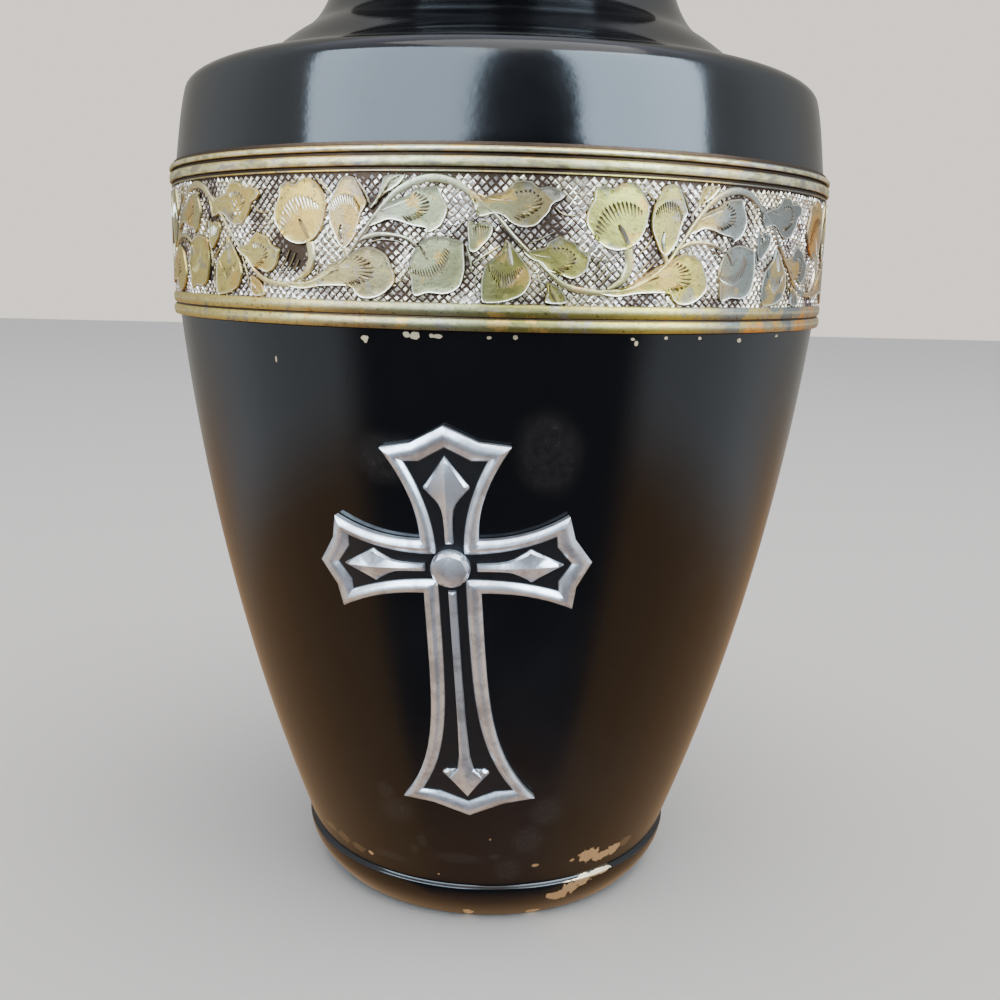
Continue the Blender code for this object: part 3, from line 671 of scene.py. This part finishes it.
def leaf_rise(depth_in):
    """Height of a leaf's face at a distance in from its outline: a bevel, a burr, then flat."""
    if depth_in < BEVEL:
        return -0.1 + 0.62 * depth_in / BEVEL
    if depth_in < BURR:
        return 0.52 - 0.07 * (depth_in - BEVEL) / (BURR - BEVEL)
    return 0.45 + 0.05 * min((depth_in - BURR) / 2.5, 1.0)


def painted_light_of(tags):
    """Painted light of a face: 1 for a painted highlight on the lit flank of a cut, -1 for painted shade on its
    shaded flank, a half for a painted highlight on a burr, else 0.
    """
    groups = {tag[0] for tag in tags if tag}
    if len(groups) != 1 or None in tags:
        return 0.0
    if groups == {"burr"}:
        return 0.55
    sides = {tag[1] for tag in tags}
    return -1.0 if "shaded" in sides else 1.0


def add_cuts(relief, outline, fan, fan_number):
    """Sinks a fan of graver cuts; each has a wide outer end and tapers inwards."""
    outer, inner, count, half = fan
    reach = []
    for k, (far, near) in enumerate(zip(resampled(outer, count), resampled(inner, count))):
        run = (far - near).normalized()
        side = Vector((-run.y, run.x)) * half
        waist = near.lerp(far, 0.4)
        wide = near.lerp(far, 0.8)
        top = leaf_rise(distance_to(outline, wide)) + 0.02
        group = (fan_number, k)
        # each flank is tagged lit or shaded, for its painted highlight or painted shade
        sides = [(group, side) for side in ("axis", "lit", "lit", "axis", "shaded", "shaded")]
        rim = relief.add([near, waist + side * 0.6, wide + side, far, wide - side, waist - side * 0.6], top,
                         tag=sides)
        deep = relief.add([near.lerp(far, 0.3), wide], [top - half * 0.7, top - half * 1.2], closed=False,
                          tag=(group, "axis"))
        relief.tie(rim, deep)
        relief.tie(deep + 1, rim + 3)
        reach += [near, near.lerp(far, 0.5), far]
    return reach


def add_slit(relief, line, half, number):
    """Sinks a broad pointed gouge."""
    middle = curve_through(line, 3)
    lit = []
    shaded = []
    for i, point in enumerate(middle):
        run = (middle[min(i + 1, len(middle) - 1)] - middle[max(i - 1, 0)]).normalized()
        side = Vector((-run.y, run.x)) * half * math.sin(math.pi * (0.1 + 0.8 * i / (len(middle) - 1))) ** 0.6
        lit.append(point + side)
        shaded.append(point - side)
    group = ("slit", number)
    relief.add(lit + shaded[::-1], 0.5, tag=[(group, "lit")] * len(lit) + [(group, "shaded")] * len(lit))
    relief.add(middle[1:-1], 0.1, closed=False, tag=(group, "axis"))
    return middle


def add_leaf(shape, polish, leaf):
    """A chased pad: bevelled and burred outline, nearly flat face, and cuts sunk into it."""
    corners, fans, slits = leaf
    outline = curve_through(corners, 3, closed=True)
    relief = Relief(outline, leaf_rise(0.0))
    relief.add(shrunk(outline, BEVEL), leaf_rise(BEVEL), tag=("burr", "axis"))
    relief.add(shrunk(outline, BURR), leaf_rise(BURR), tag=("burr", "axis"))
    cuts = []
    for k, fan in enumerate(fans):
        cuts += add_cuts(relief, outline, fan, k)
    for k, (line, half) in enumerate(slits):
        cuts += add_slit(relief, line, half, k)
    low_x, high_x = min(p.x for p in outline), max(p.x for p in outline)
    low_y, high_y = min(p.y for p in outline), max(p.y for p in outline)
    for i in range(int((high_x - low_x) / LEAF_GRID) + 1):
        for j in range(int((high_y - low_y) / LEAF_GRID) + 1):
            point = Vector((low_x + LEAF_GRID * (i + 0.5 * (j % 2)), low_y + LEAF_GRID * j))
            if inside(outline, point) and distance_to(outline, point) > 0.8:
                if min(((point - c).length for c in cuts), default=9.0) > 0.6:
                    relief.add([point], leaf_rise(distance_to(outline, point)), closed=False)
    flat, rises, tags, faces = relief.triangles(lambda p: leaf_rise(distance_to(outline, p)))
    tops = [shape.verts.new(on_band(point.x, point.y, rise)) for point, rise in zip(flat, rises)]
    for face in faces:
        made = shape.faces.new([tops[i] for i in face])
        # painted highlight on lit cut flanks and burrs, painted shade on shaded cut flanks
        made[polish] = painted_light_of({tags[i] for i in face})
    skirt(shape, tops, flat, -0.45)


def skirt(shape, tops, flat, root):
    """Walls from the rim of a sheet down into the ring, and a floor that closes them."""
    known = set(tops)
    place = dict(zip(tops, flat))
    low = {}
    after = {}
    for edge in [e for e in shape.edges if e.is_boundary and e.verts[0] in known]:
        a, b = edge.link_loops[0].vert, edge.link_loops[0].link_loop_next.vert
        for vert in (a, b):
            if vert not in low:
                low[vert] = shape.verts.new(on_band(place[vert].x, place[vert].y, root))
        shape.faces.new((b, a, low[a], low[b]))
        after[b] = a
    while after:
        ring = [next(iter(after))]
        while after.get(ring[-1], ring[0]) != ring[0]:
            ring.append(after.pop(ring[-1]))
        after.pop(ring[-1], None)
        if len(ring) > 2:
            shape.faces.new([low[vert] for vert in ring])


def add_stem(shape, polish, line):
    """A raised stem with bevelled edges, tapered where its widths say."""
    line = curve_through([Vector(p) for p in line], 5)
    rows = []
    for i, (x, y, half) in enumerate(line):
        run = line[min(i + 1, len(line) - 1)] - line[max(i - 1, 0)]
        run = Vector((run.x, run.y)).normalized()
        low = min(half / 0.5, 1.0)
        rows.append([shape.verts.new(on_band(x - run.y * aside * half, y + run.x * aside * half,
                                             rise * low if rise > 0 else rise))
                     for aside, rise in STEM_SECTION])
    for row, ahead in zip(rows, rows[1:]):
        for i in range(len(row)):
            j = (i + 1) % len(row)
            made = shape.faces.new((row[i], row[j], ahead[j], ahead[i]))
            # painted highlight on the stem's two bevels, a faint one on its other faces
            made[polish] = 0.3 if i in (1, 4) else 0.1
    shape.faces.new(rows[0][::-1])
    shape.faces.new(rows[-1])


def foliage_mesh():
    """One repeat of the vine."""
    shape = bmesh.new()
    # per-face painted light: above zero a painted highlight, below zero painted shade
    polish = shape.faces.layers.float.new("polish")
    for leaf in LEAVES:
        add_leaf(shape, polish, leaf)
    for line in STEMS:
        add_stem(shape, polish, line)
    bmesh.ops.triangulate(shape, faces=[f for f in shape.faces if len(f.verts) > 4])
    bmesh.ops.recalc_face_normals(shape, faces=shape.faces)
    mesh = bpy.data.meshes.new("one_repeat")
    shape.to_mesh(mesh)
    shape.free()
    return mesh


def diamond_mesh():
    """One stud of the cross-hatching, standing on the XZ plane and pointing to -Y."""
    mesh = bpy.data.meshes.new("diamond")
    half = HATCH_PITCH * MM / 2
    top = half * 0.5
    depth = -HATCH_DEPTH * MM
    mesh.from_pydata([(half, 0, 0), (0, 0, half), (-half, 0, 0), (0, 0, -half),
                      (top, depth, 0), (0, depth, top), (-top, depth, 0), (0, depth, -top)],
                     [], [(1, 0, 4, 5), (2, 1, 5, 6), (3, 2, 6, 7), (0, 3, 7, 4), (5, 4, 7, 6)])
    return mesh


def belly_table(steps=400):
    """Length along the body's lower line, and the point there."""
    rows = []
    length = 0.0
    last = Vector(BELLY[0])
    for point in [BELLY[0]] + bezier(BELLY, steps):
        here = Vector(point)
        length += (here - last).length
        rows.append((length, here))
        last = here
    return rows


def on_belly(table, boss_slant, x, y, rise):
    """A point of the cross, drawn flat around its boss, laid on the body's curve."""
    tilt = math.radians(CROSS_TILT)
    across = x * math.cos(tilt) - y * math.sin(tilt)
    slant = boss_slant + x * math.sin(tilt) + y * math.cos(tilt)
    step = table[-1][0] / (len(table) - 1)
    k = min(max(int(slant / step), 0), len(table) - 2)
    while k < len(table) - 2 and table[k + 1][0] < slant:
        k += 1
    while k > 0 and table[k][0] > slant:
        k -= 1
    (low, a), (high, b) = table[k], table[k + 1]
    line = a.lerp(b, (slant - low) / (high - low))
    run = (b - a).normalized()
    radius = line.x + run.y * (FIT + rise)
    height = line.y - run.x * (FIT + rise)
    bearing = math.radians(CROSS_BEARING) + across / line.x
    return Vector((radius * math.sin(bearing), -radius * math.cos(bearing), height)) * MM


def arm_side(arm, inset, steps=18):
    """Half of one arm from its root to its tip, as (along, aside)."""
    length, flare, power = arm
    corner = length - TIP_STEP
    root = ARM_ROOT - inset
    points = []
    for i in range(steps + 1):
        along = root + (corner - inset * 0.9 - root) * i / steps
        reach = max((along - root) / (corner - root), 0.0)
        points.append((along, ARM_ROOT - inset + (flare - ARM_ROOT) * reach ** power))
    points.append((length - TIP_STEP * 0.78 - inset * 1.2, (flare - inset) * 0.52))
    points.append((length - inset * 1.4, 0.0))
    return points


def turned_about(points, degrees):
    c, s = round(math.cos(math.radians(degrees))), round(math.sin(math.radians(degrees)))
    return [(a * c - b * s, a * s + b * c) for a, b in points]


def cross_loop(inset):
    loop = []
    for arm, turn in ARMS:
        side = arm_side(arm, inset)
        right = [(along, -aside) for along, aside in side[1:]]
        left = [(along, aside) for along, aside in side[:-1]][::-1]
        loop += turned_about(right + left, turn)
    return loop


def cross_mesh():
    relief = Relief(cross_loop(0.0), 1.35)
    for inset, rise in ((0.3, 1.7), (0.8, 2.0), (1.4, RIM_CREST), (2.0, 2.05), (2.5, 1.75),
                        (2.9, 1.3), (BORDER, PLATE)):
        relief.add(cross_loop(inset), rise)
    for (length, flare, _), turn in ARMS:
        leaf = flare * 0.36
        start, swell, tip = BOSS_RADIUS + 1.2, length - TIP_STEP - 8.5, length - TIP_STEP - 1.5
        half = curve_through(((start, 0.9), (swell - 5.0, 1.3), (swell - 1.2, leaf * 0.8), (swell, leaf),
                              (swell + 1.6, leaf * 0.78), (tip, 0.0)), 4)
        outline = [tuple(p) for p in half] + [(p.x, -p.y) for p in half[-2::-1]]
        relief.add(turned_about(outline, turn), PLATE)
        inner = [(p[0] + 0.25 * (1 if p[0] < swell else -1), p[1] * 0.82) for p in outline]
        relief.add(turned_about(inner, turn), PLATE + 0.75)
        crest = [(start + 0.8, 0.0), (swell - 4.6, 0.0), (swell, 0.0), (tip - 1.6, 0.0)]
        relief.add(turned_about(crest, turn), [2.0, SPINE_CREST, SPINE_CREST + 0.25, SPINE_CREST - 0.2],
                   closed=False)
    for share, rise, count in ((1.0, PLATE, 24), (0.97, 2.6, 24), (0.86, 3.5, 8), (0.45, 4.15, 8)):
        radius = BOSS_RADIUS * share
        relief.add([(radius * math.cos(math.tau * i / count), radius * math.sin(math.tau * i / count))
                    for i in range(count)], rise)
    relief.add([(0.0, 0.0)], BOSS_CREST - 0.1, closed=False)
    flat, rises, _, faces = relief.triangles(lambda p: PLATE)
    table = belly_table()
    boss_slant = min(table, key=lambda row: abs(row[1].y - CROSS_HEIGHT))[0]
    shape = bmesh.new()
    height = shape.verts.layers.float.new("height")
    tops = []
    backs = []
    for point, rise in zip(flat, rises):
        tops.append(shape.verts.new(on_belly(table, boss_slant, point.x, point.y, rise)))
        backs.append(shape.verts.new(on_belly(table, boss_slant, point.x, point.y, 0.0)))
        tops[-1][height] = rise
        backs[-1][height] = 2.0
    for face in faces:
        shape.faces.new([tops[i] for i in face])
        shape.faces.new([backs[i] for i in reversed(face)])
    known = set(tops)
    pair = dict(zip(tops, backs))
    for edge in [e for e in shape.edges if e.is_boundary and e.verts[0] in known]:
        a, b = edge.verts
        shape.faces.new((a, b, pair[b], pair[a]))
    bmesh.ops.recalc_face_normals(shape, faces=shape.faces)
    mesh = bpy.data.meshes.new("silver_cross")
    shape.to_mesh(mesh)
    shape.free()
    return mesh


# ---------------------------------------------------------------- finishes

def nearest_mark(paint, spot, marks):
    """Distance to the nearest of some oval marks, where 1 is a mark's own outline.

    A mark is its bearing in degrees, its height in millimetres and its half size in both."""
    found = None
    for bearing, height, wide, tall in marks:
        moved = paint.node("ShaderNodeVectorMath", {"operation": "MULTIPLY_ADD"},
                           {0: spot, 1: (1.0 / wide, 1.0 / tall, 0.0), 2: (-bearing / wide, -height / tall, 0.0)})
        length = paint.node("ShaderNodeVectorMath", {"operation": "LENGTH"}, {0: moved}, output="Value")
        found = found.lowest(length) if found else length
    return found


def lacquer_paint(chips=(), scrapes=(), smudges=(), rubbed=()):
    """Black lacquer, hazy in places, with chips down to the brass where they are told."""
    paint = Paint("black_lacquer", IOR=1.5, Coat_Weight=0.0)
    x, y, z = paint.axes()
    haze = paint.noise(22.0, 4.0)
    clouds = paint.noise(48.0, 3.0, 0.6)
    ragged = paint.noise(650.0, 3.0, 0.6)
    grain = paint.noise(900.0, 2.0)
    colour = paint.mix(haze.step(0.45, 0.75), (0.0032, 0.0034, 0.0045), (0.0075, 0.0085, 0.0115))
    rough = 0.1 + 0.07 * haze.step(0.4, 0.7) + 0.03 * grain
    metal = 0.0
    if chips:
        bearing = x.maths("ARCTAN2", x, 0.0 - y) * math.degrees(1.0)
        spot = paint.node("ShaderNodeCombineXYZ", {}, {0: bearing, 1: z})
        smudged = nearest_mark(paint, spot, smudges) + 0.9 * (clouds - 0.5)
        film = smudged.step(1.25, 0.55) * (0.55 + 0.9 * (ragged - 0.5))
        colour = paint.mix(0.5 * film, colour, (0.05, 0.047, 0.045))
        rough = rough + 0.22 * film
        worn = nearest_mark(paint, spot, scrapes) + 1.5 * (ragged - 0.5)
        thin = worn.step(1.05, 0.75)
        colour = paint.mix(0.75 * thin, colour, (0.16, 0.115, 0.06))
        edge = nearest_mark(paint, spot, rubbed).step(1.0, 0.5) * ragged.step(0.42, 0.55)
        bare = (nearest_mark(paint, spot, chips) + 1.7 * (ragged - 0.5)).step(1.02, 0.96).highest(edge)
        colour = paint.mix(bare, colour, paint.mix(clouds, (0.80, 0.66, 0.42), (0.62, 0.46, 0.28)))
        rough = paint.node("ShaderNodeMix", {}, {0: bare, 2: rough, 3: 0.42})
        metal = 0.85 * bare + 0.3 * thin
    return paint.finish(Base_Color=colour, Roughness=rough, Metallic=metal,
                        Normal=paint.bump(grain + 2.0 * haze, 0.00003, 0.4))


def radius_of(paint):
    x, y, _ = paint.axes()
    return (x * x + y * y) ** 0.5


def brass_paint():
    """Engraved brass: uneven tarnish by place, painted shade in the furrows and on the shaded flanks of cuts,
    painted highlights on the lit flanks, burrs and stem bevels, and bright where rubbed.
    """
    paint = Paint("tarnished_brass", Metallic=1.0)
    x, y, z = paint.axes()
    radius = (x * x + y * y) ** 0.5
    broad = paint.noise(40.0, 3.0, 0.6)
    blots = paint.noise(110.0, 4.0, 0.65)
    fine = paint.noise(520.0, 4.0, 0.7)
    pits = paint.noise(1500.0, 2.0, 0.6)
    bearing = x.maths("ARCTAN2", x, 0.0 - y) / math.tau + 0.5 + 0.05 * (broad - 0.5)
    upper = paint.ramp(bearing, (0.10, (0.60, 0.44, 0.14)), (0.25, (0.36, 0.32, 0.14)),
                       (0.361, (0.53, 0.43, 0.18)), (0.39, (0.68, 0.49, 0.14)), (0.419, (0.80, 0.52, 0.12)),
                       (0.444, (0.40, 0.28, 0.18)), (0.467, (0.40, 0.40, 0.25)), (0.492, (0.38, 0.34, 0.17)),
                       (0.514, (0.25, 0.17, 0.07)), (0.547, (0.53, 0.49, 0.12)), (0.57, (0.36, 0.27, 0.10)),
                       (0.595, (0.58, 0.38, 0.12)), (0.65, (0.47, 0.32, 0.19)), (0.75, (0.46, 0.40, 0.16)),
                       (0.9, (0.34, 0.31, 0.17)))
    lower = paint.ramp(bearing, (0.05, (0.42, 0.36, 0.15)), (0.22, (0.58, 0.42, 0.13)),
                       (0.375, (0.62, 0.48, 0.14)), (0.42, (0.60, 0.47, 0.18)), (0.45, (0.36, 0.26, 0.12)),
                       (0.478, (0.33, 0.32, 0.17)), (0.503, (0.25, 0.22, 0.06)), (0.54, (0.36, 0.30, 0.08)),
                       (0.565, (0.56, 0.46, 0.10)), (0.59, (0.50, 0.38, 0.10)), (0.66, (0.49, 0.34, 0.20)),
                       (0.8, (0.38, 0.34, 0.15)))
    base = paint.mix((z + 6.0 * (broad - 0.5)).step(165.0, 169.5), lower, upper)
    base = paint.mix(0.8 * blots.step(0.56, 0.61), base, (0.62, 0.38, 0.10))
    base = paint.mix(0.65 * blots.step(0.43, 0.38), base, (0.30, 0.27, 0.24))
    islands = bearing.step(0.585, 0.605) * bearing.step(0.68, 0.655)
    base = paint.mix(0.9 * islands * broad.step(0.50, 0.52), base, (0.20, 0.22, 0.21))
    base = paint.mix(0.9 * islands * broad.step(0.45, 0.435), base, (0.76, 0.36, 0.08))
    base = paint.mix(0.5 * fine.step(0.5, 0.72), base, (0.16, 0.12, 0.06))
    base = paint.mix(0.7 * pits.step(0.62, 0.68), base, (0.08, 0.05, 0.03))
    streaks = paint.noise(1.0, 3.0, 0.6, paint.stretched((150.0, 150.0, 420.0)))
    moulded = radius.step(PROUD - 0.14, PROUD - 0.06)
    shine = paint.ramp(streaks, (0.36, (0.40, 0.34, 0.28)), (0.44, (0.62, 0.56, 0.26)), (0.5, (0.95, 0.86, 0.50)),
                       (0.58, (0.86, 0.72, 0.48)), (0.66, (0.45, 0.42, 0.44)))
    base = paint.mix(0.7 * moulded, base, shine)
    # painted light: lit faces are mixed towards pale cream as a painted highlight, shaded faces towards dark brown
    # as painted shade
    polish = paint.attribute("polish")
    lit = (polish * (0.75 + 0.7 * fine)).highest(0.0).lowest(1.0)
    shaded = (0.0 - polish).highest(0.0)
    # painted shade: brass darkens the deeper it lies below 83.3 mm, in the ring's grooves and at the feet of leaves
    # and stems, except on painted highlights
    furrow_shade = radius.step(83.3, 82.95) * (1.0 - lit)
    colour = paint.mix(lit, base, (1.0, 0.94, 0.78))
    colour = paint.mix((0.8 * shaded).highest(furrow_shade), colour, (0.07, 0.045, 0.03))
    return paint.finish(Base_Color=colour, Roughness=0.34 + 0.2 * fine - 0.08 * lit,
                        Normal=paint.bump(fine + 0.6 * pits, 0.00008, 0.7))


def hatch_paint():
    """The cut ground: pale worn studs over furrows darkened with painted shade."""
    paint = Paint("hatched_field", Metallic=0.95)
    radius = radius_of(paint)
    grime = paint.noise(60.0, 4.0)
    fine = paint.noise(700.0, 3.0, 0.6)
    pale = paint.mix(grime.step(0.40, 0.60), (0.82, 0.74, 0.66), (0.70, 0.62, 0.44))
    pale = paint.mix(0.6 * fine.step(0.5, 0.66), pale, (0.30, 0.24, 0.20))
    # painted shade: darker towards the bottom of the furrows between the studs
    colour = paint.mix(radius.step(GROUND_RADIUS + 0.02, GROUND_RADIUS + 0.24), (0.12, 0.085, 0.08), pale)
    return paint.finish(Base_Color=colour, Roughness=0.26 + 0.24 * grime)


def silver_paint():
    paint = Paint("polished_silver")
    height = paint.attribute("height")
    mottle = paint.noise(160.0, 5.0, 0.65)
    black = height.step(PLATE + 0.3, PLATE + 0.05)
    silver = paint.mix(mottle.step(0.42, 0.62), (0.86, 0.90, 0.96), (0.55, 0.55, 0.58))
    colour = paint.mix(black, silver, (0.012, 0.012, 0.015))
    return paint.finish(Base_Color=colour, Metallic=0.75 - 0.75 * black, Roughness=0.2 + 0.25 * mottle,
                        Normal=paint.bump(mottle, 0.0003, 0.6))


# ---------------------------------------------------------------- stage

def set_stage():
    mesh = bpy.data.meshes.new("floor")
    mesh.from_pydata([(-3, -3, 0), (3, -3, 0), (3, 3, 0), (-3, 3, 0)], [], [(0, 1, 2, 3)])
    floor = bpy.data.objects.new("floor", mesh)
    bpy.context.scene.collection.objects.link(floor)
    paint = Paint("pale_floor", Base_Color=(0.86, 0.81, 0.75, 1.0), Roughness=0.9)
    mesh.materials.append(paint.finish())
    floor.visible_glossy = False

    world = bpy.data.worlds.new("studio")
    bpy.context.scene.world = world
    world.use_nodes = True
    tree = Tree(world.node_tree)
    background = world.node_tree.nodes["Background"]
    direction = tree.node("ShaderNodeTexCoord", output="Generated")
    parts = tree.node("ShaderNodeSeparateXYZ", {}, {0: direction}).socket.node.outputs
    across, ahead, up = (Signal(tree, parts[i]) for i in range(3))

    def mix(share, first, second):
        return tree.node("ShaderNodeMix", {"data_type": "RGBA"}, {0: share, 6: first, 7: second}, output=2)

    bearing = across.maths("ARCTAN2", across, 0.0 - ahead)
    aside = bearing.maths("ABSOLUTE", bearing).step(0.75, 1.05)
    behind = ahead.step(0.1, 0.8)
    front = mix(up.step(-0.75, -0.92), (0.11, 0.115, 0.14), (0.55, 0.33, 0.22))
    sides = mix(up.step(-0.3, -0.46), (0.86, 0.93, 1.0), (0.62, 0.38, 0.20))
    back = mix(up.step(-0.1, -0.3), (0.42, 0.41, 0.38), (0.50, 0.33, 0.20))
    seen = mix(up.step(0.72, 0.85), mix(behind, mix(aside, front, sides), back), (1.0, 1.05, 1.2))
    camera = tree.node("ShaderNodeLightPath", output="Is Camera Ray")
    tree.feed(background.inputs["Color"], mix(camera, seen, (1.25, 1.15, 1.03)))
    background.inputs["Strength"].default_value = 1.0


def add_window(name, bearing, elevation, distance, size, energy, colour, glossy_only):
    light = bpy.data.lights.new(name, "AREA")
    light.shape = "RECTANGLE"
    light.size, light.size_y = size
    light.energy = energy
    light.color = colour
    thing = bpy.data.objects.new(name, light)
    bpy.context.scene.collection.objects.link(thing)
    b, e = math.radians(bearing), math.radians(elevation)
    away = Vector((math.sin(b) * math.cos(e), -math.cos(b) * math.cos(e), math.sin(e)))
    thing.location = Vector((0.0, 0.0, 0.19)) + away * distance
    thing.rotation_euler = away.to_track_quat("Z", "Y").to_euler()
    thing.visible_diffuse = not glossy_only


def set_camera():
    """The photograph's camera, fitted from the turned shape's ellipses."""
    pitch, roll, yaw = (math.radians(a) for a in (11.703, 1.331, -0.370))
    level_right = Vector((math.cos(yaw), math.sin(yaw), 0.0))
    level_ahead = Vector((-math.sin(yaw), math.cos(yaw), 0.0))
    up = Vector((0.0, 0.0, 1.0))
    ahead = math.cos(pitch) * level_ahead - math.sin(pitch) * up
    top = math.sin(pitch) * level_ahead + math.cos(pitch) * up
    right = math.cos(roll) * level_right + math.sin(roll) * top
    top = -math.sin(roll) * level_right + math.cos(roll) * top
    data = bpy.data.cameras.new("camera")
    data.lens = 39.22
    data.sensor_width = 36.0
    data.clip_start = 0.01
    camera = bpy.data.objects.new("camera", data)
    bpy.context.scene.collection.objects.link(camera)
    camera.matrix_world = Matrix(((right.x, top.x, -ahead.x, 0.0), (right.y, top.y, -ahead.y, -0.29852),
                                  (right.z, top.z, -ahead.z, 0.16169), (0.0, 0.0, 0.0, 1.0)))
    bpy.context.scene.camera = camera


# ---------------------------------------------------------------- assembly

set_camera()
set_stage()
add_window("left_window", -38, 28, 1.3, (1.3, 1.0), 46, (0.66, 0.83, 1.0), True)
add_window("right_window", 48, 28, 1.3, (1.0, 1.0), 46, (0.66, 0.83, 1.0), True)
add_window("ceiling", 20, 70, 1.6, (1.6, 1.6), 20, (1.0, 0.98, 0.95), False)

lacquer = lacquer_paint()
worn_lacquer = lacquer_paint(CHIPS, SCRAPES, SMUDGES, RUBBED)
brass, hatched, silver = brass_paint(), hatch_paint(), silver_paint()
lathe, lathe_keys = lathe_tree()


def lathed(name, profile, finish, sides=SIDES, sharp=40):
    return sharpened(formed(name, polyline(name, profile), lathe, lathe_keys,
                            {"Sides": sides, "Finish": finish}), sharp)


vessel = lathed("lacquered_body", body_profile(), worn_lacquer)
lid = lathed("lacquered_lid", lid_profile(), lacquer, 144)
ring = lathed("band_ring", ring_profile(), brass, SIDES, 30)

around, around_keys = repeat_tree()
foliage = sharpened(formed("band_foliage", foliage_mesh(), around, around_keys,
                           {"Repeats": REPEATS, "Wander": 0.0003, "Finish": brass}), 32)
hatching, hatching_keys = hatch_tree()
columns = round(math.tau * GROUND_RADIUS / HATCH_PITCH)
field = formed("band_hatching", diamond_mesh(), hatching, hatching_keys,
               {"Columns": columns, "Rows": int((FIELD_HEAD - FIELD_FOOT) / HATCH_PITCH * 2) + 1,
                "Radius": GROUND_RADIUS * MM, "Foot": (FIELD_FOOT - 0.2) * MM, "Rise": HATCH_PITCH * MM / 2,
                "Wander": 0.0014, "Seed": 4, "Finish": hatched})
field.data.shade_flat()

cross = bpy.data.objects.new("silver_cross", cross_mesh())
bpy.context.scene.collection.objects.link(cross)
cross.data.materials.append(silver)
cross.data.shade_smooth()
sharpened(cross, 28)

for piece, nodes, slot in ((vessel, ["body"], "black_lacquer"), (lid, ["lid"], "black_lacquer"),
                           (ring, ["engraved_band"], "engraved_brass"), (foliage, [], "engraved_brass"),
                           (field, [], "engraved_brass"), (cross, ["cross"], "silvered_metal")):
    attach(piece, "root")
    if nodes:
        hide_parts(*nodes)
